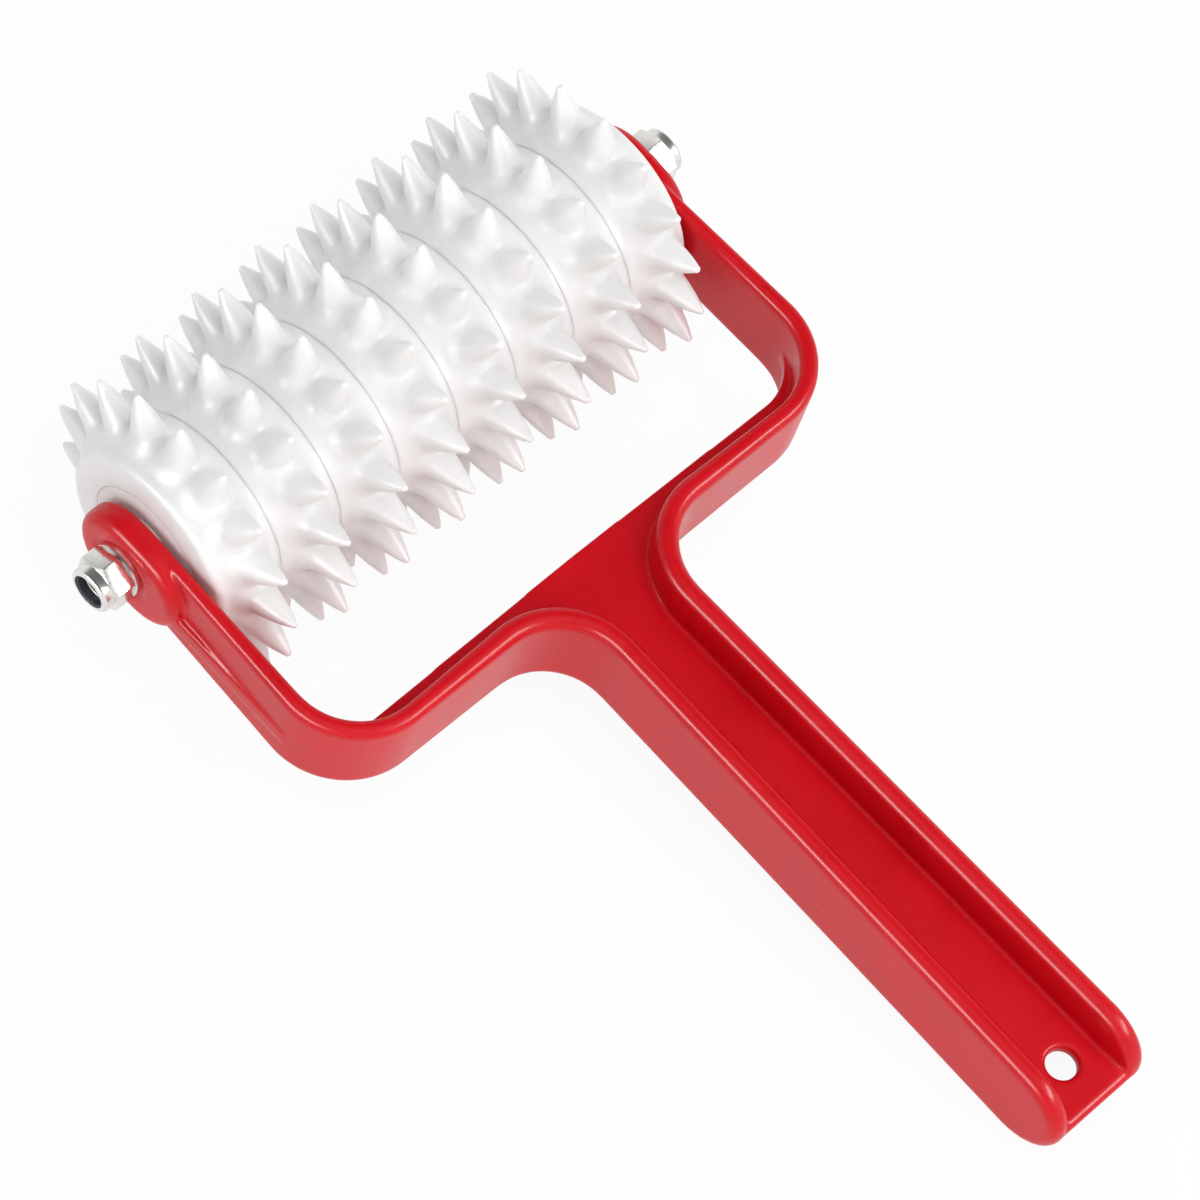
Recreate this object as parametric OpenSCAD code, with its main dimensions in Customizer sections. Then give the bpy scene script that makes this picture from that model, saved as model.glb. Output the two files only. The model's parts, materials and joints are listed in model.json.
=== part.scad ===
// Dough docker: a roller of spiked rings that spins on a steel axle between the arms of a moulded fork.
// X runs along the axle, the grip points to -Y and Z is up. Lengths are in millimetres.
// The tool lies as it rests on a table: the lowest spikes and the butt of the grip touch z = 0.

/* [Roller] */
// Radius over the spike tips
tip_r = 31; // [28:0.5:34]
// Number of spiked rings on the core
ring_count = 8; // [4:1:10]
// Width of one ring along the axle
ring_w = 14.5; // [13:0.1:17]
// Number of spikes around one ring
spike_count = 17; // [12:1:17]
// Radius of a spike at its root
spike_base_r = 3.85; // [3:0.05:3.85]
// Depth of a spike's root below the crown of its ring
spike_root = 1.2; // [0.8:0.1:1.3]
// Radius of the blunt tip of a spike
spike_tip_r = 0.8; // [0.5:0.1:1.2]
// How far the flank of a spike swells out past a straight cone
spike_swell = 0.55; // [0:0.05:0.8]
// Radius of the ring at its crown, between the spikes
crown_r = 22.2; // [22.1:0.1:23]
// How much lower the ring is at its edges than at its crown
crown_drop = 3.2; // [1:0.1:4]
// Angle by which turning a ring over moves its spikes
stagger = 17.6; // [3:0.2:18]

/* [Core and end caps] */
// Outer radius of the core tube
core_r = 9; // [8:0.5:11]
// Bore radius of the core tube
core_bore_r = 6; // [5:0.1:6.5]
// Number of keys along the core
key_count = 4; // [2:1:4]
// Width of a key
key_w = 2.4; // [2:0.1:3]
// Height of a key over the core
key_h = 1.2; // [0.8:0.1:1.5]
// Radius of the flange of an end cap
cap_r = 13; // [12:0.5:15]
// Thickness of the flange of an end cap
cap_t = 1.2; // [1:0.1:2]
// Length of the spigot that an end cap pushes into the core
spigot_l = 12; // [8:0.5:16]

/* [Axle and fasteners] */
// Radius of the axle rod
axle_r = 3; // [2.5:0.1:3.5]
// Width of a lock nut across its flats
nut_flats = 10; // [9.5:0.1:10.5]
// Height of the six-sided part of a lock nut
nut_hex_h = 4.4; // [4:0.1:5]
// Height of the round collar of a lock nut
collar_h = 2.2; // [1.8:0.1:3]
// Outer radius of the round collar of a lock nut
collar_r = 4.6; // [4.5:0.05:4.7]
// Outer radius of the nylon insert in a lock nut
insert_r = 3.8; // [3.7:0.05:4]
// Height of the nylon insert in a lock nut
insert_h = 1.6; // [1.2:0.1:1.7]
// Outer radius of the plain washer under a nut
washer_r = 6; // [5.8:0.1:6.3]
// Thickness of the plain washer under a nut
washer_t = 1.2; // [0.8:0.1:1.6]
// Outer radius of the thrust washer between roller and arm
thrust_r = 8; // [6:0.5:8.5]
// Thickness of the thrust washer between roller and arm
thrust_t = 0.5; // [0.4:0.1:1.5]

/* [Handle] */
// Distance along the handle from the axle to the butt of the grip
reach = 185.8; // [150:0.2:230]
// Height of the strap wall that runs round the handle
wall_h = 21.6; // [18:0.1:26]
// Thickness of the strap wall
wall_t = 4.3; // [3.5:0.1:5.5]
// Distance from the axle to the middle of the crossbar wall
bar_y = 55.9; // [50:0.1:65]
// How much nearer to the roller the crossbar lies at the grip than at its corners
bar_sweep = 0.7; // [0:0.1:3]
// Half width of the grip at the crossbar, to the middle of its wall
grip_front_x = 8; // [6.5:0.1:12]
// Half width of the grip at the butt, to the middle of its wall
grip_butt_x = 9.5; // [6.5:0.1:14]
// How much wider the fork is inside at its corners than at its tips, on each side
arm_spread = 1.15; // [0.9:0.05:3]
// Thickness of an arm where it leaves its boss
arm_t = 2.7; // [2.4:0.1:4]
// Height of an arm where it leaves its boss
arm_h = 20.2; // [18:0.1:20.4]
// Thickness of the wall at the corners of the fork
corner_t = 3.6; // [3.5:0.1:4.3]
// Height of the wall at the corners of the fork
corner_h = 20.9; // [20:0.1:21.6]
// Height of the axle over the middle of the handle's walls
axle_rise = 0.9; // [0:0.1:1.5]
// Radius of the fork corners, to the middle of the wall
corner_r = 14.9; // [10:0.1:18]
// Radius of the shoulders where the crossbar meets the grip, to the middle of the wall
shoulder_r = 15.1; // [8:0.1:18]
// Thickness of the web between the walls
web_t = 3; // [2:0.1:4]
// Width of the shelf that the web forms in front of the crossbar
shelf_w = 3.4; // [2:0.1:5]
// Radius of the inner corners of the shelf
shelf_r = 11.5; // [8:0.5:18]
// Diameter of the hanging hole
hang_d = 6; // [4:0.5:9]
// Distance from the butt to the middle of the hanging hole
hang_y = 9.7; // [8:0.1:14]
// How far the boss at the end of an arm stands out from the arm
boss_t = 2.9; // [2.5:0.1:4.5]
// Distance from the axle to the front end of the boss
boss_front = 11.3; // [10.7:0.1:13]
// Distance from the axle to the rear end of the boss
boss_back = 14.2; // [14:0.1:17]
// Half height of the boss
boss_h = 10.3; // [10.3:0.1:10.6]
// Depth of the round recess that the washer sits in
recess_d = 0.4; // [0.3:0.1:1]
// Height of the side of the rib between the boss and the corner
rib_t = 4.2; // [2:0.1:6]
// Height of the top of the rib over the middle of the handle's walls
rib_top = 0.7; // [0:0.1:2]
// How far the rib stands out from the arm at the boss
rib_w = 1.8; // [1:0.1:1.8]
// Distance from the axle to the end of the rib
rib_l = 42; // [38:0.5:42]

/* [Hidden] */
$fn = 64;
// Radial clearance of the axle in the end caps
run_clear = 0.05;
// Radial clearance of pieces that are pushed together
seat_clear = 0.05;
// Play of the roller along the axle, at each end
end_play = 0.2;
// Radius of the rounded end of the collar
collar_round = 0.7;
// Thickness of the lip that is rolled in over the insert
lip_t = 0.35;
// How far that lip reaches in over the insert
lip_w = 0.3;
// Radial clearance round the plain washer in its recess
recess_clear = 0.5;
// Height of the flat land that the thrust washer bears on
land_h = 0.3;
// Radius of the flat land
land_r = thrust_r + 0.8;
// Radius of the outer edge of the boss
boss_edge = 2.4;
// Radius of the edges of the rib
rib_edge = 0.6;
// Width of the bevel at the mouth of the hanging hole
hang_bevel = 0.5;
// Overlap that joins solids of one piece
bite = 0.4;
// Length by which a cut runs out past a face
over = 1;
// How far a stretch of wall runs into the bend next to it
run_in = 0.3;
// How much a stretch of wall lies inside the faces of the bend next to it
run_inset = 0.03;
// How far the inner corners of the shelf cut in past its straight front edge
shelf_dip = 0.02;
// How far the axle lies below the open end of a nut
axle_sink = 0.8;
// Bore radius of both kinds of washer
washer_bore_r = axle_r + 0.2;

spike_step = 360 / spike_count;
roller_half = ring_count * ring_w / 2;
root_r = crown_r - spike_root;
spike_len = tip_r - root_r;
counterbore_r = cap_r + seat_clear;

land_x = roller_half + end_play + thrust_t;
arm_in_x = land_x + land_h;
tip_x = arm_in_x + arm_t / 2;
corner_x = arm_in_x + arm_spread + corner_t / 2;
boss_x = arm_in_x + arm_t + boss_t;
rib_x = arm_in_x + arm_t + rib_w;
seat_x = boss_x - recess_d;
nut_x = seat_x + washer_t;
nut_h = nut_hex_h + collar_h;
axle_half = nut_x + nut_h - axle_sink;
nose_r = wall_h / 2;
arm_end_y = boss_h - boss_back;
boss_mid_y = (boss_front - boss_back) / 2;
boss_half_l = (boss_front + boss_back) / 2 - boss_h;
grip_end_y = -(reach - nose_r);
// The top edge of the wall is level from the corners to the butt
corner_rise = (wall_h - corner_h) / 2;
// Sections of the wall: thickness, height and height of its middle over that of the grip's walls
arm_section = [arm_t, arm_h, axle_rise];
corner_section = [corner_t, corner_h, corner_rise];
grip_section = [wall_t, wall_h, 0];

// The roller settles on the two nearest spike tips of neighbouring rings
axle_z = (tip_r - spike_tip_r) * cos(stagger / 2) + spike_tip_r;
// Slope of the handle at which the butt touches the table too
butt = [grip_end_y, -axle_rise];
rest_tilt = asin((axle_z - nose_r) / norm(butt)) - atan2(axle_rise, -grip_end_y);
front_tips = [for (turned = [-1, 1], k = [0 : spike_count - 1]) sin(turned * stagger / 2 + k * spike_step)];
front_y = (tip_r - spike_tip_r) * max(front_tips) + spike_tip_r;
back_y = grip_end_y * cos(rest_tilt) + axle_rise * sin(rest_tilt) - nose_r;
// Shift that puts the origin under the middle of the tool
axle_y = -(front_y + back_y) / 2;

// Unit vector from p to q
function unit(p, q) = (q - p) / norm(q - p);
// Direction of the vector v, in degrees
function heading(v) = atan2(v[1], v[0]);
// Half of the angle between the legs of the corner b
function half_corner(a, b, c) = acos(unit(b, a) * unit(b, c)) / 2;
// Point where a fillet of radius r on the corner a, b, c leaves the leg towards a
function fillet_start(a, b, c, r) = b + unit(b, a) * r / tan(half_corner(a, b, c));
// Centre of that fillet
function fillet_centre(a, b, c, r) =
    let (inward = unit(b, a) + unit(b, c))
    b + inward / norm(inward) * r / sin(half_corner(a, b, c));

// Corners of the middle line of the right half of the strap wall, from arm tip to butt
arm_end = [tip_x, arm_end_y];
fork_corner = [corner_x, -bar_y];
grip_corner = [grip_front_x, -bar_y + bar_sweep];
grip_end = [grip_butt_x, grip_end_y];

corner_in = fillet_start(arm_end, fork_corner, grip_corner, corner_r);
corner_out = fillet_start(grip_corner, fork_corner, arm_end, corner_r);
corner_mid = fillet_centre(arm_end, fork_corner, grip_corner, corner_r);
shoulder_in = fillet_start(fork_corner, grip_corner, grip_end, shoulder_r);
shoulder_out = fillet_start(grip_end, grip_corner, fork_corner, shoulder_r);
shoulder_mid = fillet_centre(fork_corner, grip_corner, grip_end, shoulder_r);

// Puts a child, drawn about the axle as if the handle lay flat, in its resting place
module at_rest() {
    translate([0, axle_y, axle_z])
        rotate([rest_tilt, 0, 0])
            children();
}

// Puts a child, drawn about the axle, in its place without the slope of the handle
module on_axle() {
    translate([0, axle_y, axle_z])
        children();
}

// Turns a child that is drawn along +Z so that it runs outwards at one end of the axle
module along_axle(side) {
    mirror([side < 0 ? 1 : 0, 0, 0])
        rotate([0, 90, 0])
            children();
}

// A tube along Z from z0 to z1
module tube(outer_r, inner_r, z0, z1) {
    difference() {
        translate([0, 0, z0])
            cylinder(r = outer_r, h = z1 - z0);
        translate([0, 0, z0 - over])
            cylinder(r = inner_r, h = z1 - z0 + 2 * over);
    }
}

// Outline of a section of the wall, with fully rounded edges, on the height of its middle
module wall_outline(section, inset = 0) {
    t = section[0];
    h = section[1];
    translate([0, section[2]]) {
        square([t - 2 * inset, h - t], center = true);
        for (side = [-1, 1])
            translate([0, side * (h - t) / 2])
                circle(d = t - 2 * inset);
    }
}

// Stretch of wall on the way from p to q, which begins at the distance start from p
module wall_piece(p, q, start, length, section) {
    translate([p[0], p[1], 0])
        rotate([0, 0, heading(q - p) + 90])
            rotate([90, 0, 0])
                translate([0, 0, start])
                    linear_extrude(length)
                        wall_outline(section, run_inset);
}

// Straight stretch of wall from p to q, which runs a little way into the bends at its ends
module wall_run(p, q, section) {
    wall_piece(p, q, -run_in, norm(q - p) + 2 * run_in, section);
}

// The same for a wall whose section changes from one end to the other
module wall_taper(p, q, first, last) {
    hull() {
        wall_piece(p, q, -run_in, run_in, first, $fn = 32);
        wall_piece(p, q, norm(q - p), run_in, last, $fn = 32);
    }
}

// Curved stretch of wall from p to q about the centre c
module wall_bend(c, p, q, r, section) {
    sweep = acos(unit(c, p) * unit(c, q));
    turn = cross(p - c, q - c);
    first = turn > 0 ? p : q;
    translate([c[0], c[1], 0])
        rotate([0, 0, heading(first - c)])
            rotate_extrude(angle = sweep)
                translate([r, 0])
                    wall_outline(section);
}

// Half round end of the wall at p, for a wall that arrives from q
module wall_nose(p, q) {
    translate([p[0], p[1], 0])
        rotate([0, 0, heading(p - q) - 90])
            rotate([0, 90, 0])
                rotate_extrude(angle = 180) {
                    translate([0, -wall_t / 2])
                        square([nose_r - wall_t / 2, wall_t]);
                    translate([nose_r - wall_t / 2, 0])
                        intersection() {
                            circle(d = wall_t);
                            translate([0, -wall_t])
                                square([wall_t, 2 * wall_t]);
                        }
                }
}

// Right half of the strap wall
module half_wall() {
    wall_taper(arm_end, corner_in, arm_section, corner_section);
    wall_bend(corner_mid, corner_in, corner_out, corner_r, corner_section);
    wall_taper(corner_out, shoulder_in, corner_section, grip_section);
    wall_bend(shoulder_mid, shoulder_in, shoulder_out, shoulder_r, grip_section);
    wall_run(shoulder_out, grip_end, grip_section);
    wall_nose(grip_end, grip_corner);
}

// Right half of the outline that the walls enclose, to the middle of the wall
module half_enclosed() {
    difference() {
        union() {
            polygon([[0, arm_end_y], arm_end, corner_in, corner_mid, corner_out,
                     shoulder_in, shoulder_mid, shoulder_out, grip_end, [0, grip_end_y]]);
            translate(corner_mid)
                circle(r = corner_r);
        }
        translate(shoulder_mid)
            circle(r = shoulder_r);
    }
}

// Right half of the space between the arms, down to the front edge of the shelf
module half_window() {
    slope = atan2(bar_sweep, corner_x - grip_front_x);
    front = [0, -bar_y + bar_sweep + wall_t / 2 + shelf_w];
    bend_x = corner_x - corner_t / 2 + bite - shelf_r;
    edge = front + [cos(slope), -sin(slope)] * (bend_x - sin(slope) * shelf_r) / cos(slope);
    middle = edge + [sin(slope), cos(slope)] * shelf_r;
    polygon([[0, 0], front, edge, middle + [shelf_r, 0], [middle[0] + shelf_r, 0]]);
    translate(middle - [0, shelf_dip])
        circle(r = shelf_r);
}

// Outline of the right half of the web
module half_web() {
    difference() {
        half_enclosed();
        half_window();
    }
}

// The web, with its open end at the butt rounded off
module web() {
    butt_y = -(reach - web_t / 2);
    linear_extrude(web_t, center = true) {
        half_web();
        mirror([1, 0])
            half_web();
        polygon([[-grip_butt_x, grip_end_y + bite], [grip_butt_x, grip_end_y + bite],
                 [grip_butt_x, butt_y], [-grip_butt_x, butt_y]]);
    }
    translate([0, butt_y, 0])
        rotate([0, 90, 0])
            cylinder(d = web_t, h = 2 * grip_butt_x, center = true);
}

// Edge profile of the boss, from its middle outwards
module boss_profile() {
    height = boss_x - arm_in_x;
    inner_edge = arm_t / 2;
    square([boss_h - boss_edge, height]);
    translate([0, inner_edge])
        square([boss_h, height - inner_edge - boss_edge]);
    square([boss_h - inner_edge, inner_edge]);
    translate([boss_h - inner_edge, inner_edge])
        circle(r = inner_edge);
    translate([boss_h - boss_edge, height - boss_edge])
        circle(r = boss_edge);
}

// Long round boss that forms the end of the right arm
module boss() {
    translate([arm_in_x, boss_mid_y, 0])
        rotate([0, 90, 0]) {
            for (side = [-1, 1])
                translate([0, side * boss_half_l, 0])
                    rotate_extrude()
                        boss_profile();
            for (side = [0, 1])
                mirror([side, 0, 0])
                    translate([0, boss_half_l, 0])
                        rotate([90, 0, 0])
                            linear_extrude(2 * boss_half_l)
                                boss_profile();
        }
}

// Rib from the boss to the corner of the fork, which the arm outgrows as it thickens
module rib() {
    start_y = arm_end_y;
    translate([tip_x, start_y, rib_top - rib_t])
        rotate([90, 0, 0])
            linear_extrude(rib_l + start_y) {
                square([rib_x - tip_x - rib_edge, rib_t]);
                translate([0, rib_edge])
                    square([rib_x - tip_x, rib_t - 2 * rib_edge]);
                for (z = [rib_edge, rib_t - rib_edge])
                    translate([rib_x - tip_x - rib_edge, z])
                        circle(r = rib_edge);
            }
}

// The right half of the handle, without its web
module handle_half() {
    translate([0, 0, -axle_rise]) {
        half_wall();
        rib();
    }
    boss();
    along_axle(1)
        translate([0, 0, land_x])
            cylinder(r = land_r, h = land_h + bite);
}

// The one-piece moulded handle
module handle_frame() {
    color([0.78, 0.07, 0.1])
        at_rest()
            difference() {
                union() {
                    handle_half();
                    mirror([1, 0, 0])
                        handle_half();
                    translate([0, 0, -axle_rise])
                        web();
                }
                for (side = [-1, 1])
                    along_axle(side) {
                        translate([0, 0, land_x - over])
                            cylinder(r = axle_r + seat_clear, h = boss_x - land_x + 2 * over);
                        translate([0, 0, seat_x])
                            cylinder(r = washer_r + recess_clear, h = recess_d + over);
                    }
                translate([0, -(reach - hang_y), -axle_rise]) {
                    cylinder(d = hang_d, h = 2 * web_t, center = true);
                    for (side = [0, 1])
                        mirror([0, 0, side])
                            translate([0, 0, web_t / 2 - hang_bevel])
                                cylinder(r1 = hang_d / 2, r2 = hang_d / 2 + 2 * hang_bevel, h = 2 * hang_bevel);
                }
            }
}

// Steel rod with threaded ends
module axle_rod() {
    color([0.75, 0.76, 0.78])
        at_rest()
            rotate([0, 90, 0])
                cylinder(r = axle_r, h = 2 * axle_half, center = true);
}

// Washer that keeps the roller off the arm
module thrust_washer(side) {
    color([0.93, 0.93, 0.9])
        at_rest()
            along_axle(side)
                tube(thrust_r, washer_bore_r, land_x - thrust_t, land_x);
}

// Plain steel washer in the recess of the boss
module plain_washer(side) {
    color([0.72, 0.73, 0.75])
        at_rest()
            along_axle(side)
                tube(washer_r, washer_bore_r, seat_x, nut_x);
}

// Outline that bevels the corners of a nut at both of its faces
module nut_envelope() {
    corner = nut_flats / sqrt(3);
    bevel = corner - nut_flats / 2;
    rotate_extrude()
        polygon([[0, 0], [corner - bevel, 0], [corner, bevel / 2], [corner, nut_hex_h - bevel / 2],
                 [corner - bevel, nut_hex_h], [0, nut_hex_h]]);
}

// Round collar that is rolled in over the insert
module collar() {
    rotate_extrude() {
        translate([0, nut_hex_h - bite])
            square([collar_r, collar_h + bite - collar_round]);
        translate([0, nut_hex_h])
            square([collar_r - collar_round, collar_h]);
        translate([collar_r - collar_round, nut_h - collar_round])
            circle(r = collar_round);
    }
}

// Six-sided lock nut with the collar that holds its insert
module lock_nut(side) {
    color([0.78, 0.79, 0.81])
        at_rest()
            along_axle(side)
                translate([0, 0, nut_x])
                    difference() {
                        union() {
                            intersection() {
                                cylinder(d = 2 * nut_flats / sqrt(3), h = nut_hex_h, $fn = 6);
                                nut_envelope();
                            }
                            collar();
                        }
                        translate([0, 0, -over])
                            cylinder(r = axle_r + seat_clear, h = nut_h + 2 * over);
                        translate([0, 0, nut_h - lip_t - insert_h])
                            cylinder(r = insert_r + seat_clear, h = insert_h);
                        translate([0, 0, nut_h - lip_t - bite])
                            cylinder(r = insert_r - lip_w, h = lip_t + bite + over);
                    }
}

// Nylon ring inside the collar of a lock nut
module nut_insert(side) {
    color([0.12, 0.13, 0.17])
        at_rest()
            along_axle(side)
                tube(insert_r, axle_r + seat_clear, nut_x + nut_h - lip_t - insert_h, nut_x + nut_h - lip_t);
}

// Tube with keys on which the rings are pushed
module roller_core() {
    length = ring_count * ring_w - 2 * cap_t;
    color([0.9, 0.9, 0.88])
        on_axle()
            rotate([0, 90, 0])
                difference() {
                    union() {
                        cylinder(r = core_r, h = length, center = true);
                        for (k = [0 : key_count - 1])
                            rotate([0, 0, k * 360 / key_count])
                                translate([(core_r + key_h) / 2, 0, 0])
                                    cube([core_r + key_h, key_w, length], center = true);
                    }
                    cylinder(r = core_bore_r, h = length + 2 * over, center = true);
                }
}

// End cap: a flange that closes the roller and a spigot that runs on the axle
module end_cap(side) {
    color([0.94, 0.94, 0.92])
        on_axle()
            along_axle(side)
                difference() {
                    union() {
                        translate([0, 0, roller_half - cap_t])
                            cylinder(r = cap_r, h = cap_t);
                        translate([0, 0, roller_half - cap_t - spigot_l])
                            cylinder(r = core_bore_r - seat_clear, h = spigot_l + bite);
                    }
                    translate([0, 0, roller_half - cap_t - spigot_l - over])
                        cylinder(r = axle_r + run_clear, h = spigot_l + cap_t + 2 * over);
                }
}

// Radius of a spike at a share u of its height, counted down from the tip
function spike_r(u) = spike_tip_r + (spike_base_r - spike_tip_r) * u + spike_swell * 4 * u * (1 - u);

// One blunt, swelling spike that points along +Z from the axle
module spike() {
    steps = 5;
    body = spike_len - spike_tip_r;
    translate([0, 0, root_r])
        rotate_extrude($fn = 32)
            polygon(concat([[0, 0]], [for (i = [steps : -1 : 0]) [spike_r(i / steps), body * (1 - i / steps)]],
                           [[0, body]]));
    translate([0, 0, root_r + body])
        sphere(r = spike_tip_r, $fn = 32);
}

// Profile of the crowned ring, from the axle outwards
module ring_profile() {
    steps = 6;
    half = ring_w / 2;
    polygon(concat([[0, -half]],
                   [for (i = [-steps : steps]) [crown_r - crown_drop * pow(i / steps, 2), half * i / steps]],
                   [[0, half]]));
}

// One spiked ring. Every second ring is the same moulding turned over, which moves its spikes round
module spike_ring(index) {
    turned = index % 2 == 0 ? -1 : 1;
    slot_w = key_w + 2 * seat_clear;
    slot_h = core_r + key_h + seat_clear;
    color([0.96, 0.96, 0.95])
        on_axle()
            translate([-roller_half + (index - 0.5) * ring_w, 0, 0])
                difference() {
                    union() {
                        rotate([0, 90, 0])
                            rotate_extrude()
                                ring_profile();
                        for (k = [0 : spike_count - 1])
                            rotate([180 + turned * stagger / 2 + k * spike_step, 0, 0])
                                spike();
                    }
                    rotate([0, 90, 0]) {
                        cylinder(r = core_r + seat_clear, h = ring_w + 2 * over, center = true);
                        for (k = [0 : key_count - 1])
                            rotate([0, 0, k * 360 / key_count])
                                translate([slot_h / 2, 0, 0])
                                    cube([slot_h, slot_w, ring_w + 2 * over], center = true);
                        for (side = [0, 1])
                            mirror([0, 0, side])
                                translate([0, 0, ring_w / 2 - cap_t])
                                    cylinder(r = counterbore_r, h = cap_t + over);
                    }
                }
}

handle_frame();
axle_rod();
thrust_washer(-1);  // left_thrust_washer
thrust_washer(1);  // right_thrust_washer
plain_washer(-1);  // left_plain_washer
plain_washer(1);  // right_plain_washer
lock_nut(-1);  // left_lock_nut
lock_nut(1);  // right_lock_nut
nut_insert(-1);  // left_nut_insert
nut_insert(1);  // right_nut_insert
roller_core();
end_cap(-1);  // left_end_cap
end_cap(1);  // right_end_cap
for (i = [1 : ring_count])
    spike_ring(i);
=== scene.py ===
import json
import math
import bpy
import bmesh
from mathutils import Matrix, Vector


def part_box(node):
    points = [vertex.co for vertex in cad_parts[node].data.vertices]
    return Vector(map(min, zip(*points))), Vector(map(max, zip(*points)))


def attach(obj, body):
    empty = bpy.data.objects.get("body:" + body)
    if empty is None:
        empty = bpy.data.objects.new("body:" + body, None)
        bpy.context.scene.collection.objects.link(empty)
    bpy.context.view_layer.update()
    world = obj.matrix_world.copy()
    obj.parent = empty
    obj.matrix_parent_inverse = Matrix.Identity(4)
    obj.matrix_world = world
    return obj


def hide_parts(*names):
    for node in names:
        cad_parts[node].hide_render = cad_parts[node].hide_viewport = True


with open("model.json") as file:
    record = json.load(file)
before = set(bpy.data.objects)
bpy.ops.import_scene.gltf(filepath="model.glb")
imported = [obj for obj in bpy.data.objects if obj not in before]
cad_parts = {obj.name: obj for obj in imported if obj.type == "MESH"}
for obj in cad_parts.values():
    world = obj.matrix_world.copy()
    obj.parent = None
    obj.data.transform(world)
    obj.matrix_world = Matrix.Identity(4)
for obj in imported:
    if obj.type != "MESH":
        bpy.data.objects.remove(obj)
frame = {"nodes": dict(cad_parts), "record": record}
nodes, record = frame["nodes"], frame["record"]
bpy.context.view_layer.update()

MM = 0.001

# ---------------------------------------------------------------- places from the frame
# The middle of the axle at rest, and how far the handle slopes down to its butt
AXLE = Vector(record["behaviour"]["joints"][0]["pos_m"])
HOLE_AXIS = Vector(record["mounts"][0]["axis"])
TILT = math.atan2(-HOLE_AXIS.y, HOLE_AXIS.z)
# Turns and moves what is drawn about the axle of a flat handle to where it rests
AT_REST = Matrix.Translation(AXLE) @ Matrix.Rotation(TILT, 4, "X")
# Turns what is drawn about Z so that it runs along the axle
ALONG_AXLE = Matrix.Rotation(math.radians(90), 4, "Y")

# ---------------------------------------------------------------- sizes
# Spiked rings
RINGS = sorted((n for n in nodes if n.startswith("spike_ring_")), key=lambda n: int(n.split("_")[-1]))
SPIKE_COUNT = 17
SPIKE_BASE_R = 3.15 * MM
SPIKE_TIP_R = 0.75 * MM
SPIKE_SWELL = 0.45 * MM
SPIKE_REACH = 31.0 * MM
SPIKE_ROOT_R = 21.0 * MM
ROOT_BLEND = 5.0 * MM
ROOT_SLOPE = -2.4
CROWN_R = 22.2 * MM
CROWN_DROP = 2.8 * MM
# Rounding of a rim against the next ring, and of the two rims at the roller's ends
RING_JOINT = 0.03 * MM
RING_EDGE = 1.6 * MM
FLANGE_DEPTH = 1.2 * MM
STAGGER = math.radians(17.6)
# Room round the core and round an end cap
BORE_CLEAR = 0.1 * MM
FLANGE_CLEAR = 0.05 * MM
RING_SEAM = 0.002 * MM
RING_CREASE = 50.0
# Slope of a spike's flank where the dome of its tip ends, and steps of the searches by halving
DOME_END = math.radians(12)
HALVINGS = 40

# Handle
HANDLE_GRID = 0.3 * MM
HANDLE_FACES = 195000
HANDLE_SMOOTHINGS = 16
HANDLE_CREASE = 70.0

# Axle rod
THREAD_PITCH = 1.0 * MM
THREAD_DEPTH = 0.5 * MM
THREAD_CLEAR = 0.02 * MM
ROD_BEVEL = 0.45 * MM
ROD_SUNK = 1.0 * MM
ROD_SIDES = 48
ROD_CREASE = 30.0
WASHER_R = 5.5 * MM

# Points nearer to each other than this are one
SAME_PLACE = 0.001 * MM

# ---------------------------------------------------------------- levels of the looks
# Range of a noise over which a tone or a roughness runs
NOISE_SPREAD = (0.3, 0.7)
MOULD_RELIEF = 0.05 * MM
LATHE_RELIEF = 0.02 * MM

FLOOR_SIZE = 8.0
FLOOR_DROP = 0.1 * MM
FLOOR_TONE = 0.92
# Share of the floor's tone that is plain white, so that shadows on it stay faint
FLOOR_WHITE = 0.92
FLOOR_WHITE_IN_GLOSS = 0.7
# Brightness of the studio's walls from straight down (0) over level (0.5) to straight up (1)
WALL_LEVELS = ((0.0, 1.0), (0.5, 1.0), (0.62, 1.0), (0.8, 0.25), (1.0, 0.16))


# ---------------------------------------------------------------- node trees
def link(tree, *pairs):
    """Joins outputs to inputs; each pair is (output socket, input socket)."""
    for start, end in pairs:
        tree.links.new(start, end)


def node(tree, kind, **values):
    """A node of a tree with the named properties and input values set."""
    made = tree.nodes.new(kind)
    for name, value in values.items():
        if hasattr(made, name):
            setattr(made, name, value)
        else:
            made.inputs[name.replace("_", " ")].default_value = value
    return made


def maths(tree, operation, first, second=None):
    """Output of a Math node whose operands are sockets or plain numbers."""
    made = tree.nodes.new("ShaderNodeMath")
    made.operation = operation
    for socket, value in zip(made.inputs, (first, second)):
        if isinstance(value, bpy.types.NodeSocket):
            tree.links.new(value, socket)
        elif value is not None:
            socket.default_value = value
    return made.outputs[0]


def new_group(name, inputs, outputs):
    """A shader node group with float inputs and outputs, and its two end nodes."""
    tree = bpy.data.node_groups.new(name, "ShaderNodeTree")
    for label, default in inputs.items():
        socket = tree.interface.new_socket(label, in_out="INPUT", socket_type="NodeSocketFloat")
        socket.default_value = default
    for label in outputs:
        tree.interface.new_socket(label, in_out="OUTPUT", socket_type="NodeSocketFloat")
    return tree, tree.nodes.new("NodeGroupInput"), tree.nodes.new("NodeGroupOutput")


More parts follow.
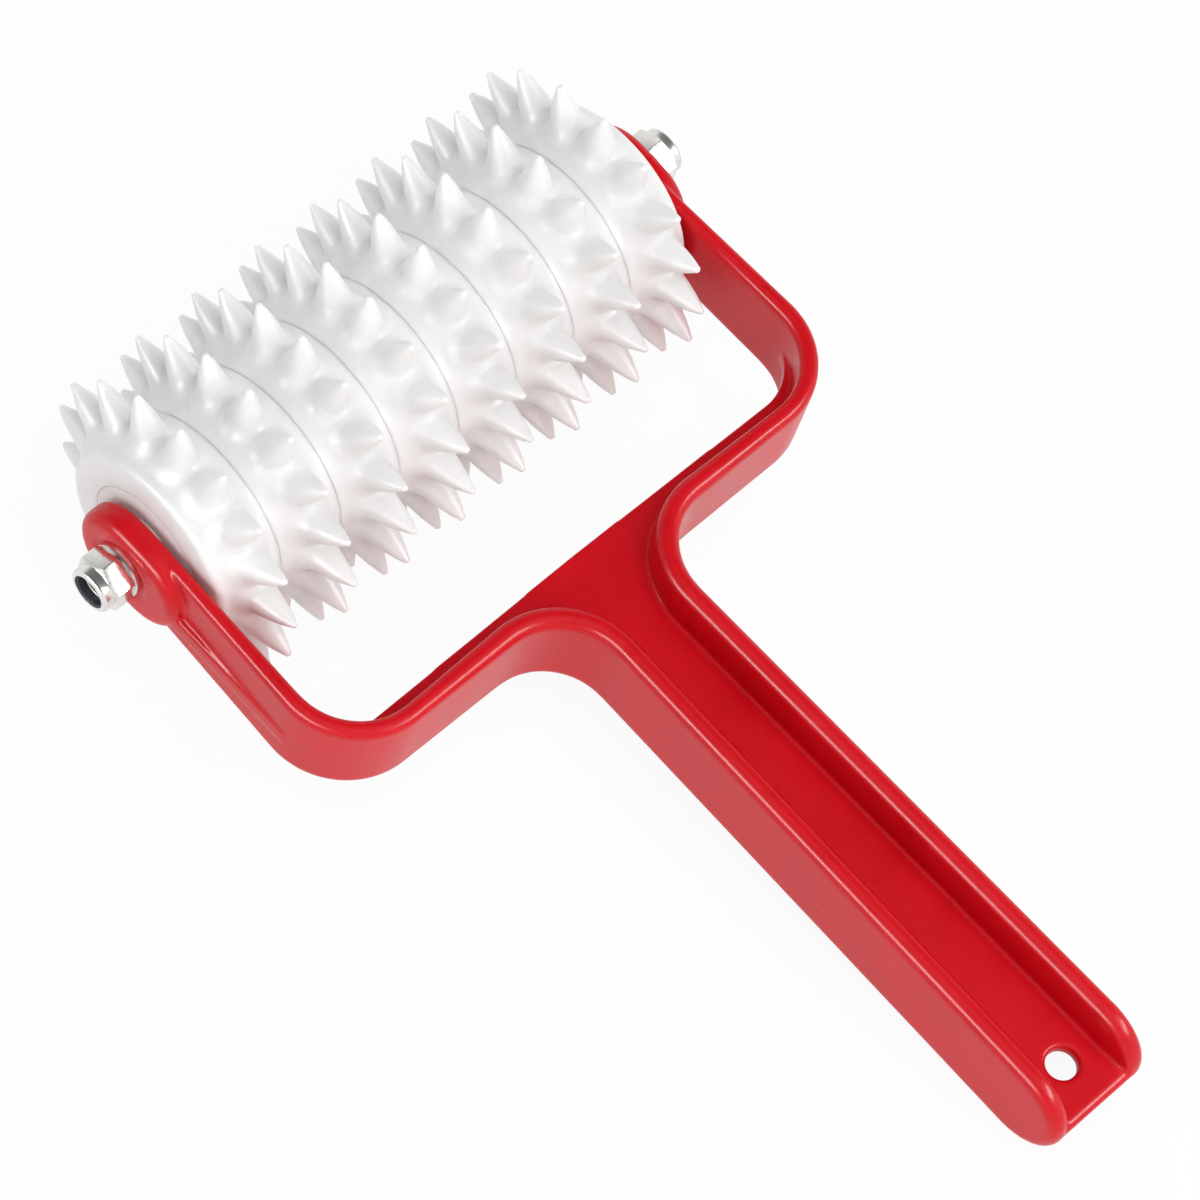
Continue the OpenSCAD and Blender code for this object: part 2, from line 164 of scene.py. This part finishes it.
def moulded_skin():
    """Skin of a moulding: a slow drift of its tone, and the fine texture of its mould."""
    tree, start, end = new_group(
        "moulded skin", {"Drift Scale": 40.0, "Texture Scale": 1800.0, "Flow": 0.5}, ("Drift", "Texture"))
    coords = node(tree, "ShaderNodeTexCoord")
    drift = node(tree, "ShaderNodeTexNoise", Detail=2.0, Roughness=0.45)
    flow = node(tree, "ShaderNodeTexNoise", Detail=3.0, Roughness=0.6, Distortion=1.2)
    fine = node(tree, "ShaderNodeTexNoise", Detail=1.0)
    pits = node(tree, "ShaderNodeTexVoronoi", feature="SMOOTH_F1")
    for item in (drift, flow, fine, pits):
        link(tree, (coords.outputs["Object"], item.inputs["Vector"]))
    link(tree, (start.outputs["Drift Scale"], drift.inputs["Scale"]),
         (maths(tree, "MULTIPLY", start.outputs["Drift Scale"], 4.0), flow.inputs["Scale"]),
         (start.outputs["Texture Scale"], fine.inputs["Scale"]),
         (maths(tree, "MULTIPLY", start.outputs["Texture Scale"], 0.6), pits.inputs["Scale"]))
    centred = maths(tree, "SUBTRACT", flow.outputs["Fac"], 0.5)
    swirl = maths(tree, "MULTIPLY", start.outputs["Flow"], centred)
    pitted = maths(tree, "MULTIPLY", pits.outputs["Distance"], 0.6)
    grain = maths(tree, "ADD", fine.outputs["Fac"], pitted)
    link(tree, (maths(tree, "ADD", drift.outputs["Fac"], swirl), end.inputs["Drift"]),
         (grain, end.inputs["Texture"]))
    return tree


def turned_marks():
    """Marks of the lathe round the axle: rings on end faces, and hoops on round sides."""
    tree, start, end = new_group(
        "turned marks", {"Mark Scale": 3000.0, "Wander": 0.35}, ("Marks", "Cloud"))
    coords = node(tree, "ShaderNodeTexCoord")
    place = node(tree, "ShaderNodeMapping")
    place.inputs["Location"].default_value = -AXLE
    split = node(tree, "ShaderNodeSeparateXYZ")
    radius = maths(tree, "SQRT", maths(tree, "ADD", maths(tree, "POWER", split.outputs["Y"], 2.0),
                                       maths(tree, "POWER", split.outputs["Z"], 2.0)))
    along = maths(tree, "ADD", radius, split.outputs["X"])
    across = maths(tree, "MULTIPLY", along, start.outputs["Mark Scale"])
    cloud = node(tree, "ShaderNodeTexNoise", Scale=420.0, Detail=2.0)
    lines = node(tree, "ShaderNodeTexNoise", noise_dimensions="1D", Scale=1.0, Detail=2.0)
    wander = maths(tree, "MULTIPLY", cloud.outputs["Fac"], start.outputs["Wander"])
    link(tree, (coords.outputs["Object"], place.inputs["Vector"]), (place.outputs[0], split.inputs[0]),
         (coords.outputs["Object"], cloud.inputs["Vector"]),
         (maths(tree, "ADD", across, wander), lines.inputs["W"]),
         (lines.outputs["Fac"], end.inputs["Marks"]), (cloud.outputs["Fac"], end.inputs["Cloud"]))
    return tree


SKIN = moulded_skin()
MARKS = turned_marks()


def start_material(name):
    """An empty node material and its Principled shader."""
    mat = bpy.data.materials.new(name)
    mat.use_nodes = True
    return mat, mat.node_tree, mat.node_tree.nodes["Principled BSDF"]


def place_group(tree, group, **values):
    """A node group in a material, with its inputs set by name."""
    made = tree.nodes.new("ShaderNodeGroup")
    made.node_tree = group
    for label, value in values.items():
        made.inputs[label.replace("_", " ")].default_value = value
    return made


def tone(tree, mask, low, high):
    """Colour that runs from low to high with a noise."""
    ramp = tree.nodes.new("ShaderNodeValToRGB")
    for stop, place, colour in zip(ramp.color_ramp.elements, NOISE_SPREAD, (low, high)):
        stop.position = place
        stop.color = (*colour, 1.0)
    tree.links.new(mask, ramp.inputs["Fac"])
    return ramp.outputs["Color"]


def spread_to(tree, mask, low, high):
    """Value that runs from low to high with a noise."""
    made = node(tree, "ShaderNodeMapRange", From_Min=NOISE_SPREAD[0], From_Max=NOISE_SPREAD[1],
                To_Min=low, To_Max=high)
    tree.links.new(mask, made.inputs["Value"])
    return made.outputs["Result"]


def raised(tree, shader, height, strength, distance):
    """Feeds a height to the shader's normal."""
    bump = node(tree, "ShaderNodeBump", Strength=strength, Distance=distance)
    link(tree, (height, bump.inputs["Height"]), (bump.outputs["Normal"], shader.inputs["Normal"]))


def plastic(name, low, high, gloss, texture, drift_scale=40.0, texture_scale=1800.0):
    """A moulded plastic; gloss is its roughness from the shiniest to the dullest places."""
    mat, tree, shader = start_material(name)
    skin = place_group(tree, SKIN, Drift_Scale=drift_scale, Texture_Scale=texture_scale)
    link(tree, (tone(tree, skin.outputs["Drift"], low, high), shader.inputs["Base Color"]),
         (spread_to(tree, skin.outputs["Drift"], *gloss), shader.inputs["Roughness"]))
    raised(tree, shader, skin.outputs["Texture"], texture, MOULD_RELIEF)
    return mat, shader


def red_plastic():
    """Glossy red plastic of the handle."""
    mat, shader = plastic("red plastic", (0.56, 0.0020, 0.0080), (0.63, 0.0030, 0.0110),
                          gloss=(0.27, 0.34), texture=0.2)
    shader.inputs["Specular IOR Level"].default_value = 0.24
    return mat


def white_plastic():
    """Milky plastic of the roller, which lets a little light through its spikes."""
    mat, shader = plastic("white plastic", (0.80, 0.803, 0.797), (0.86, 0.86, 0.855),
                          gloss=(0.38, 0.48), texture=0.4, drift_scale=60.0, texture_scale=2200.0)
    shader.inputs["Subsurface Weight"].default_value = 0.9
    shader.inputs["Subsurface Radius"].default_value = (1.0, 0.96, 0.92)
    shader.inputs["Subsurface Scale"].default_value = 1.2 * MM
    return mat


def slippery_plastic():
    """Waxy plastic of the thrust washers."""
    return plastic("slippery plastic", (0.72, 0.71, 0.67), (0.80, 0.79, 0.75),
                   gloss=(0.42, 0.55), texture=0.3, drift_scale=120.0)[0]


def nylon_insert():
    """Dark blue nylon of the rings in the lock nuts."""
    return plastic("nylon insert", (0.006, 0.009, 0.016), (0.013, 0.018, 0.032),
                   gloss=(0.4, 0.6), texture=0.5, drift_scale=300.0, texture_scale=2500.0)[0]


def zinc_steel():
    """Bright plated steel with the marks of its turning."""
    mat, tree, shader = start_material("zinc steel")
    marks = place_group(tree, MARKS)
    shader.inputs["Metallic"].default_value = 1.0
    colour = tone(tree, marks.outputs["Cloud"], (0.72, 0.71, 0.68), (0.83, 0.82, 0.80))
    link(tree, (colour, shader.inputs["Base Color"]),
         (spread_to(tree, marks.outputs["Marks"], 0.14, 0.26), shader.inputs["Roughness"]))
    raised(tree, shader, marks.outputs["Marks"], 0.12, LATHE_RELIEF)
    return mat


MATERIALS = {
    "red_plastic": red_plastic(),
    "white_plastic": white_plastic(),
    "zinc_steel": zinc_steel(),
    "nylon_insert": nylon_insert(),
    "slippery_plastic": slippery_plastic(),
}
SLOT_OF = {part["node"]: part["material_slot"] for part in record["subparts"]}
BODY_OF = {name: body for body, names in record["behaviour"]["bodies"].items() for name in names}


# ---------------------------------------------------------------- meshes
def object_of(mesh, name):
    """Puts a mesh into the scene at the origin."""
    made = bpy.data.objects.new(name, mesh)
    bpy.context.collection.objects.link(made)
    return made


def plain_mesh(made, name):
    """Turns an object with live modifiers into a plain mesh object in its place."""
    bpy.context.view_layer.update()
    done = made.evaluated_get(bpy.context.evaluated_depsgraph_get())
    mesh = bpy.data.meshes.new_from_object(done)
    mesh.name = name
    bpy.data.objects.remove(made)
    return object_of(mesh, name)


def smooth(mesh, crease=40.0):
    """Smooth shading, with a crease where faces meet at more than the given angle."""
    mesh.polygons.foreach_set("use_smooth", [True] * len(mesh.polygons))
    mesh.set_sharp_from_angle(angle=math.radians(crease))


def dress(piece, name):
    """Lets a piece stand for a CAD node: its material, its body and its slot."""
    piece.data.materials.clear()
    piece.data.materials.append(MATERIALS[SLOT_OF[name]])
    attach(piece, BODY_OF[name])
    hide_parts(name)


def merged_copy(name, title):
    """Copy of a CAD node's mesh whose loose triangles are joined."""
    mesh = nodes[name].data.copy()
    mesh.name = title
    form = bmesh.new()
    form.from_mesh(mesh)
    bmesh.ops.remove_doubles(form, verts=form.verts, dist=SAME_PLACE)
    bmesh.ops.dissolve_degenerate(form, edges=form.edges, dist=SAME_PLACE)
    form.to_mesh(mesh)
    form.free()
    return object_of(mesh, title)


def lathe(name, profile, sides):
    """Turned shape about Z from a profile of (radius, height) points that starts and ends on the axis."""
    form = bmesh.new()
    loops = []
    for radius, height in profile:
        count = 1 if radius == 0.0 else sides
        turns = [2 * math.pi * i / sides for i in range(count)]
        loops.append([form.verts.new((radius * math.cos(t), radius * math.sin(t), height)) for t in turns])
    for lower, upper in zip(loops, loops[1:]):
        for i in range(sides):
            j = (i + 1) % sides
            corners = [lower[i % len(lower)], lower[j % len(lower)],
                       upper[j % len(upper)], upper[i % len(upper)]]
            form.faces.new(list(dict.fromkeys(corners)))
    bmesh.ops.recalc_face_normals(form, faces=form.faces)
    mesh = bpy.data.meshes.new(name)
    form.to_mesh(mesh)
    form.free()
    return mesh


# ---------------------------------------------------------------- handle
def handle():
    """The moulded fork handle, with the soft fillets of a moulding where its walls meet."""
    piece = merged_copy("handle_frame", "moulded_handle")
    piece.data.transform(AT_REST.inverted())
    shell = piece.modifiers.new("skin", "REMESH")
    shell.mode = "VOXEL"
    shell.voxel_size = HANDLE_GRID
    soft = piece.modifiers.new("fillets", "SMOOTH")
    soft.factor = 0.5
    soft.iterations = HANDLE_SMOOTHINGS
    piece = plain_mesh(piece, "moulded_handle")
    thin = piece.modifiers.new("thin", "DECIMATE")
    thin.ratio = min(1.0, HANDLE_FACES / (2 * len(piece.data.polygons)))
    piece = plain_mesh(piece, "moulded_handle")
    piece.data.transform(AT_REST)
    smooth(piece.data, HANDLE_CREASE)
    dress(piece, "handle_frame")


# ---------------------------------------------------------------- spiked rings
def spike_radius(share):
    """Radius of a spike at a share of its height below the tip."""
    return SPIKE_TIP_R + (SPIKE_BASE_R - SPIKE_TIP_R) * share + SPIKE_SWELL * 4 * share * (1 - share)


def spike_flank():
    """Points (distance from the spike's axis, height over the axle) from its tip down past its root."""
    body = SPIKE_REACH - SPIKE_ROOT_R - SPIKE_TIP_R
    dome, steps, below = 3, 12, 6
    points = []
    for i in range(1, dome + 1):
        turn = math.pi / 2 - (math.pi / 2 - DOME_END) * i / (dome + 1)
        height = SPIKE_ROOT_R + body + SPIKE_TIP_R * math.sin(turn)
        points.append((SPIKE_TIP_R * math.cos(turn), height))
    for i in range(steps + 1):
        points.append((spike_radius(i / steps), SPIKE_ROOT_R + body * (1 - i / steps)))
    for i in range(1, below + 1):
        points.append((SPIKE_BASE_R + i * MM, SPIKE_ROOT_R + ROOT_SLOPE * i * MM))
    return points


def soft_max(first, second, blend):
    """The larger of two heights, rounded off where they are nearly the same."""
    near = max(blend - abs(first - second), 0.0) / blend
    return max(first, second) + near * near * blend / 4


def cell_point(flank, distance, ray, half):
    """Point of the ring's skin at a distance from the spike's axis, on a ray across the cell."""
    y, z = distance * math.cos(ray), distance * math.sin(ray)
    for (near, high), (far, low) in zip(flank, flank[1:]):
        if distance <= far:
            break
    spike = high + (low - high) * max(0.0, distance - near) / (far - near)
    drop = CROWN_DROP * (1 - math.cos(math.pi * z / half)) / 2
    crown = math.sqrt((CROWN_R - drop) ** 2 - y * y)
    return Vector((soft_max(spike, crown, ROOT_BLEND), y, z))


def cell_limit(flank, ray, half, reach):
    """Distance from the spike's axis at which a ray leaves the crown of the cell, by halving."""
    near, far = SPIKE_TIP_R, 2 * half
    for _ in range(HALVINGS):
        middle = (near + far) / 2
        point = cell_point(flank, middle, ray, half)
        inside = abs(point.z) < reach and abs(point.y) < point.x * math.tan(math.pi / SPIKE_COUNT)
        near, far = (middle, far) if inside else (near, middle)
    return near


def corner_ray(flank, half, reach):
    """Direction of the ray that runs into the corner of a cell, by halving."""
    low, high = 0.0, math.pi / 2
    for _ in range(HALVINGS):
        middle = (low + high) / 2
        limit = cell_limit(flank, middle, half, reach)
        reached = cell_point(flank, limit, middle, half).z > reach * 0.9999
        low, high = (low, middle) if reached else (middle, high)
    return high


def ring_cell(width, bore, flange, edges):
    """One cell of a ring with one spike; edges are the roundings of its left and right rims."""
    half = width / 2
    flank = spike_flank()
    # Rays over a rim and over a side of the cell, steps out to its limit, and steps of a rim's rounding
    across, along, outer, arc = 7, 6, 8, 4
    rays = []
    for first, edge in ((0.0, edges[1]), (math.pi, edges[0])):
        corner = corner_ray(flank, half, half - edge)
        quarter = [corner * i / across for i in range(across)]
        quarter += [corner + (math.pi / 2 - corner) * i / along for i in range(along)]
        turns = quarter + [math.pi / 2] + [math.pi - ray for ray in quarter[:0:-1]]
        rays += [(first + ray, edge) for ray in turns]
    form = bmesh.new()
    tip = form.verts.new((SPIKE_REACH, 0, 0))
    inner = [distance for distance, height in flank if distance < SPIKE_BASE_R * 0.97]
    columns = []
    for ray, edge in rays:
        limit = cell_limit(flank, ray, half, half - edge)
        steps = inner + [inner[-1] + (limit - inner[-1]) * i / outer
                         for i in range(1, outer + 1)]
        points = [cell_point(flank, distance, ray, half) for distance in steps]
        columns.append([form.verts.new(point) for point in points])
        if abs(points[-1].z) > (half - edge) * 0.999:
            end, side = points[-1], math.copysign(1.0, points[-1].z)
            turn, centre = math.atan2(end.y, end.x), math.hypot(end.x, end.y) - edge
            bends = [math.pi / 2 * i / arc for i in range(1, arc + 1)]
            run = [(centre + edge * math.cos(bend), half - edge + edge * math.sin(bend))
                   for bend in bends]
            run += [(flange, half), (flange, half - FLANGE_DEPTH),
                    (bore, half - FLANGE_DEPTH), (bore, 0.0)]
            columns[-1] += [form.verts.new((r * math.cos(turn), r * math.sin(turn), side * z))
                            for r, z in run]
    for first, second in zip(columns, columns[1:] + columns[:1]):
        form.faces.new((tip, first[0], second[0]))
        for i in range(min(len(first), len(second)) - 1):
            form.faces.new((first[i], first[i + 1], second[i + 1], second[i]))
    bmesh.ops.remove_doubles(form, verts=form.verts, dist=SAME_PLACE)
    mesh = bpy.data.meshes.new("ring cell")
    form.to_mesh(mesh)
    form.free()
    return mesh


def shape_tree(name, inputs):
    """A geometry tree whose inputs are (label, kind) pairs, and its two end nodes."""
    tree = bpy.data.node_groups.new(name, "GeometryNodeTree")
    for label, kind in (("Geometry", "Geometry"), *inputs, ("Finish", "Material")):
        tree.interface.new_socket(label, in_out="INPUT", socket_type="NodeSocket" + kind)
    tree.interface.new_socket("Geometry", in_out="OUTPUT", socket_type="NodeSocketGeometry")
    return tree, tree.nodes.new("NodeGroupInput"), tree.nodes.new("NodeGroupOutput")


def spiked_ring_tree():
    """Geometry tree that repeats a cell round a ring, turns the ring and moves it onto the axle."""
    tree, start, end = shape_tree("spiked ring", (
        ("Cells", "Int"), ("First Turn", "Float"), ("Seam", "Float"), ("Place", "Vector")))
    centres = node(tree, "GeometryNodeMeshLine")
    centres.inputs["Offset"].default_value = (0.0, 0.0, 0.0)
    index = node(tree, "GeometryNodeInputIndex")
    step = maths(tree, "DIVIDE", 2 * math.pi, start.outputs["Cells"])
    turned = maths(tree, "MULTIPLY", index.outputs[0], step)
    angle = maths(tree, "ADD", turned, start.outputs["First Turn"])
    turn = node(tree, "ShaderNodeCombineXYZ")
    cells = node(tree, "GeometryNodeInstanceOnPoints")
    real = node(tree, "GeometryNodeRealizeInstances")
    joined = node(tree, "GeometryNodeMergeByDistance")
    placed = node(tree, "GeometryNodeTransform")
    placed.inputs["Rotation"].default_value = (0.0, math.radians(90), 0.0)
    finish = node(tree, "GeometryNodeSetMaterial")
    link(tree, (start.outputs["Cells"], centres.inputs["Count"]), (angle, turn.inputs["Z"]),
         (centres.outputs["Mesh"], cells.inputs["Points"]),
         (start.outputs["Geometry"], cells.inputs["Instance"]),
         (turn.outputs[0], cells.inputs["Rotation"]),
         (cells.outputs["Instances"], real.inputs["Geometry"]),
         (real.outputs["Geometry"], joined.inputs["Geometry"]),
         (start.outputs["Seam"], joined.inputs["Distance"]),
         (joined.outputs["Geometry"], placed.inputs["Geometry"]),
         (start.outputs["Place"], placed.inputs["Translation"]),
         (placed.outputs["Geometry"], finish.inputs["Geometry"]),
         (start.outputs["Finish"], finish.inputs["Material"]),
         (finish.outputs["Geometry"], end.inputs["Geometry"]))
    return tree


def grow(piece, tree, **values):
    """Puts a geometry tree on a piece and sets its inputs by name."""
    grown = piece.modifiers.new(tree.name, "NODES")
    grown.node_group = tree
    for item in tree.interface.items_tree:
        label = item.name.replace(" ", "_")
        if item.in_out == "INPUT" and label in values:
            grown[item.identifier] = values[label]


def spiked_rings():
    """The rings of the roller: one moulding, of which every second one is turned over."""
    tree = spiked_ring_tree()
    low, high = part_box("roller_core")
    bore = (high[2] - low[2]) / 2 + BORE_CLEAR
    low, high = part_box("left_end_cap")
    flange = (high[2] - low[2]) / 2 + FLANGE_CLEAR
    low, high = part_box(RINGS[0])
    cells = [ring_cell(high[0] - low[0], bore, flange, edges) for edges in (
        (RING_EDGE, RING_JOINT), (RING_JOINT, RING_JOINT), (RING_JOINT, RING_EDGE))]
    for index, name in enumerate(RINGS, 1):
        low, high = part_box(name)
        turned = -1 if index % 2 == 0 else 1
        cell = cells[(index > 1) + (index == len(RINGS))]
        piece = object_of(cell.copy(), "spiked_ring_%d" % index)
        grow(piece, tree, Cells=SPIKE_COUNT, First_Turn=turned * STAGGER / 2, Seam=RING_SEAM,
             Place=((low[0] + high[0]) / 2, AXLE.y, AXLE.z), Finish=MATERIALS["white_plastic"])
        piece = plain_mesh(piece, "spiked_ring_%d" % index)
        smooth(piece.data, RING_CREASE)
        dress(piece, name)


# ---------------------------------------------------------------- axle rod
def thread_tree():
    """Geometry tree that winds a screw thread round the end of a rod."""
    tree, start, end = shape_tree("screw thread", (
        (label, "Float") for label in ("Turns", "Length", "Ridge Radius", "Ridge Size", "Start")))
    helix = node(tree, "GeometryNodeCurveSpiral", Resolution=24)
    up = node(tree, "ShaderNodeCombineXYZ")
    moved = node(tree, "GeometryNodeTransform")
    ridge = node(tree, "GeometryNodeCurvePrimitiveCircle", Resolution=4)
    upright = node(tree, "GeometryNodeSetCurveNormal", mode="Z_UP")
    swept = node(tree, "GeometryNodeCurveToMesh")
    swept.inputs["Fill Caps"].default_value = True
    joined = node(tree, "GeometryNodeJoinGeometry")
    real = node(tree, "GeometryNodeRealizeInstances")
    finish = node(tree, "GeometryNodeSetMaterial")
    link(tree, (start.outputs["Turns"], helix.inputs["Rotations"]),
         (start.outputs["Length"], helix.inputs["Height"]),
         (start.outputs["Ridge Radius"], helix.inputs["Start Radius"]),
         (start.outputs["Ridge Radius"], helix.inputs["End Radius"]),
         (start.outputs["Ridge Size"], ridge.inputs["Radius"]),
         (start.outputs["Start"], up.inputs["Z"]),
         (helix.outputs["Curve"], upright.inputs["Curve"]),
         (upright.outputs["Curve"], moved.inputs["Geometry"]),
         (up.outputs[0], moved.inputs["Translation"]),
         (moved.outputs["Geometry"], swept.inputs["Curve"]),
         (ridge.outputs["Curve"], swept.inputs["Profile Curve"]),
         (start.outputs["Geometry"], joined.inputs["Geometry"]),
         (swept.outputs["Mesh"], joined.inputs["Geometry"]),
         (joined.outputs["Geometry"], real.inputs["Geometry"]),
         (real.outputs["Geometry"], finish.inputs["Geometry"]),
         (start.outputs["Finish"], finish.inputs["Material"]),
         (finish.outputs["Geometry"], end.inputs["Geometry"]))
    return tree


def axle_rod():
    """The steel rod: a plain shank between two threaded ends."""
    low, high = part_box("axle_rod")
    half, radius = high[0] - ROD_SUNK, (high[2] - low[2]) / 2
    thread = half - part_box("right_plain_washer")[0][0] + 2 * THREAD_PITCH
    core = radius - THREAD_DEPTH
    shank = half - thread
    profile = [(0.0, -half), (core - ROD_BEVEL, -half), (core, -half + ROD_BEVEL),
               (core, -shank - ROD_BEVEL), (radius, -shank), (radius, shank),
               (core, shank + ROD_BEVEL), (core, half - ROD_BEVEL), (core - ROD_BEVEL, half),
               (0.0, half)]
    mesh = lathe("axle", profile, ROD_SIDES)
    smooth(mesh, ROD_CREASE)
    piece = object_of(mesh, "threaded_axle")
    tree = thread_tree()
    length = thread - 2 * ROD_BEVEL - THREAD_DEPTH
    for start in (shank + ROD_BEVEL, -half + ROD_BEVEL + THREAD_DEPTH):
        grow(piece, tree, Turns=length / THREAD_PITCH, Length=length, Ridge_Radius=core,
             Ridge_Size=THREAD_DEPTH - THREAD_CLEAR, Start=start, Finish=MATERIALS["zinc_steel"])
    piece = plain_mesh(piece, "threaded_axle")
    piece.data.transform(AT_REST @ ALONG_AXLE)
    dress(piece, "axle_rod")


# ---------------------------------------------------------------- small pieces
def softened(name, title, width, crease=25.0, rim=1.0):
    """A CAD node's shape with broken edges, and no wider about the axle than the rim."""
    piece = merged_copy(name, title)
    for vertex in piece.data.vertices:
        out = Vector((0.0, vertex.co.y - AXLE.y, vertex.co.z - AXLE.z))
        if out.length > rim:
            vertex.co -= out.normalized() * (out.length - rim)
    edge = piece.modifiers.new("broken edges", "BEVEL")
    edge.width = width
    edge.segments = 2
    edge.limit_method = "ANGLE"
    edge.angle_limit = math.radians(crease)
    edge.use_clamp_overlap = True
    piece = plain_mesh(piece, title)
    smooth(piece.data, crease)
    dress(piece, name)


def fasteners_and_bearings():
    """Nuts, their inserts, washers, end caps and the core of the roller."""
    for side in ("left", "right"):
        softened(side + "_lock_nut", side + "_nut", 0.14 * MM)
        softened(side + "_nut_insert", side + "_insert", 0.1 * MM)
        softened(side + "_plain_washer", side + "_steel_washer", 0.12 * MM, rim=WASHER_R)
        softened(side + "_thrust_washer", side + "_plastic_washer", 0.06 * MM)
        softened(side + "_end_cap", side + "_cap", 0.05 * MM)
    softened("roller_core", "core", 0.2 * MM)


handle()
spiked_rings()
axle_rod()
fasteners_and_bearings()


# ---------------------------------------------------------------- floor and light
def floor():
    """White table that keeps a faint shadow and shows white to the camera and in gloss."""
    bpy.ops.mesh.primitive_plane_add(size=FLOOR_SIZE, location=(0, 0, -FLOOR_DROP))
    table = bpy.context.object
    table.name = "floor"
    mat, tree, shader = start_material("white table")
    shader.inputs["Base Color"].default_value = (FLOOR_TONE, FLOOR_TONE, FLOOR_TONE, 1.0)
    shader.inputs["Roughness"].default_value = 1.0
    shader.inputs["Specular IOR Level"].default_value = 0.0
    rays = node(tree, "ShaderNodeLightPath")
    mirrored = maths(tree, "MAXIMUM", rays.outputs["Is Glossy Ray"], rays.outputs["Is Transmission Ray"])
    straight = maths(tree, "MULTIPLY", rays.outputs["Is Camera Ray"], FLOOR_WHITE)
    in_gloss = maths(tree, "MULTIPLY", mirrored, FLOOR_WHITE_IN_GLOSS)
    seen = maths(tree, "MAXIMUM", straight, in_gloss)
    glow = node(tree, "ShaderNodeEmission", Strength=1.0)
    mix = tree.nodes.new("ShaderNodeMixShader")
    link(tree, (seen, mix.inputs["Fac"]), (shader.outputs[0], mix.inputs[1]),
         (glow.outputs[0], mix.inputs[2]),
         (mix.outputs[0], tree.nodes["Material Output"].inputs["Surface"]))
    table.data.materials.append(mat)


floor()


def studio_walls():
    """Bright low walls all round and a dim ceiling."""
    world = bpy.data.worlds.new("studio")
    bpy.context.scene.world = world
    world.use_nodes = True
    tree = world.node_tree
    coords, split = node(tree, "ShaderNodeTexCoord"), node(tree, "ShaderNodeSeparateXYZ")
    ramp = tree.nodes.new("ShaderNodeValToRGB")
    stops = ramp.color_ramp.elements
    for place, level in WALL_LEVELS:
        stop = stops[0] if place == 0.0 else stops[-1] if place == 1.0 else stops.new(place)
        stop.position = place
        stop.color = (level, level, level, 1.0)
    height = maths(tree, "MULTIPLY", maths(tree, "ADD", split.outputs["Z"], 1.0), 0.5)
    link(tree, (coords.outputs["Generated"], split.inputs[0]), (height, ramp.inputs["Fac"]),
         (ramp.outputs["Color"], tree.nodes["Background"].inputs["Color"]))


studio_walls()


def lamp(name, where, width, height, power, in_gloss=True, in_matt=True):
    """A soft box that looks at the tool; a strip may serve the gloss of the surfaces alone."""
    data = bpy.data.lights.new(name, "AREA")
    data.shape = "RECTANGLE"
    data.size, data.size_y = width, height
    data.energy = power
    box = bpy.data.objects.new(name, data)
    box.location = where
    box.rotation_euler = (Vector((0, 0, 0.02)) - Vector(where)).to_track_quat("-Z", "Y").to_euler()
    box.visible_glossy = in_gloss
    box.visible_diffuse = in_matt
    bpy.context.collection.objects.link(box)


lamp("top box", (-0.1, -0.35, 1.15), 1.0, 1.0, 8.3, in_gloss=False)
lamp("front box", (0.1, -0.85, 0.6), 1.0, 0.4, 3.1, in_gloss=False)
lamp("left box", (-1.0, 0.1, 0.45), 0.9, 0.3, 1.2, in_gloss=False)
lamp("back box", (0.7, 0.9, 0.55), 0.8, 0.3, 2.2, in_gloss=False)
lamp("left strip", (-1.0, 0.1, 0.38), 1.0, 0.12, 20.0, in_matt=False)
lamp("front strip", (0.38, -0.7, 0.55), 0.6, 0.12, 10.0, in_matt=False)

# ---------------------------------------------------------------- camera
# Fitted to the photograph about the axle of the flat handle, with the focal length in pixels of a
# frame of 1200 pixels; the distance is in metres
FRAME_PX, FOCAL_PX, SENSOR_MM = 1200.0, 6469.4, 36.0
DISTANCE = 1.1581
AZIMUTH, ELEVATION, ROLL = math.radians(-63.80), math.radians(62.95), math.radians(-22.26)
TARGET = Vector((-1.32, -58.89, -0.9)) * MM


def camera():
    """Camera that looks at the tool from the photograph's side."""
    back = Vector((math.cos(ELEVATION) * math.sin(AZIMUTH), -math.cos(ELEVATION) * math.cos(AZIMUTH),
                   math.sin(ELEVATION)))
    level = Vector((math.cos(AZIMUTH), math.sin(AZIMUTH), 0.0))
    above = back.cross(level)
    right = math.cos(ROLL) * level - math.sin(ROLL) * above
    up = math.sin(ROLL) * level + math.cos(ROLL) * above
    turned = Matrix((right, up, back)).transposed().to_4x4()
    turned.translation = TARGET + back * DISTANCE
    data = bpy.data.cameras.new("camera")
    data.sensor_width = SENSOR_MM
    data.lens = FOCAL_PX / FRAME_PX * SENSOR_MM
    eye = bpy.data.objects.new("camera", data)
    eye.matrix_world = AT_REST @ turned
    bpy.context.collection.objects.link(eye)
    bpy.context.scene.camera = eye


camera()
bpy.context.scene.view_settings.view_transform = "Standard"
